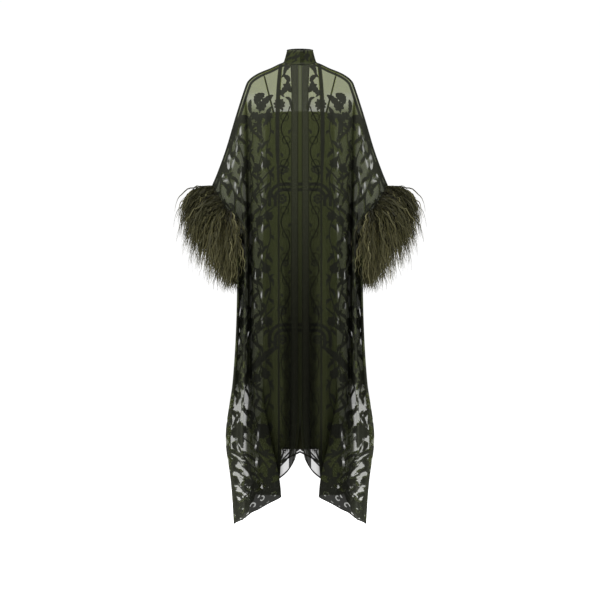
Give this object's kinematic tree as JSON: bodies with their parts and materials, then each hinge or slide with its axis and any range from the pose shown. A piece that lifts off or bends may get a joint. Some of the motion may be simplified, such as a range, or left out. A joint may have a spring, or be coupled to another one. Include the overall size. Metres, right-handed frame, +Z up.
{
  "type": "feather-cuffed kaftan",
  "caption": "Full-length sheer kaftan over an opaque slip, with a stand collar, wide wing sleeves, bound centre-front bands and feather cuffs, filled out as if worn.",
  "frame": {"origin": "between the shoulders at the base of the collar, in the plane of the shoulder seams, where the wearer's shoulders hold the garment up", "axes": "+Z up the wearer's body, -Y the front of the garment, +X the wearer's left"},
  "size_m": [0.9604, 0.3216, 1.8425],
  "materials": {
    "chiffon": "matt sheer cloth with a denser burnt-out pattern",
    "placket": "matt bound band",
    "slip": "opaque crepe, low sheen",
    "feather": "curled feather fronds"
  },
  "bodies": {
    "root": {"front_left": "chiffon", "front_right": "chiffon", "back": "chiffon", "collar": "chiffon", "placket_left": "placket", "placket_right": "placket", "slip_front": "slip", "slip_back": "slip", "strap_left": "slip", "strap_right": "slip", "cuff_left": "feather", "cuff_right": "feather"}
  },
  "joints": []
}
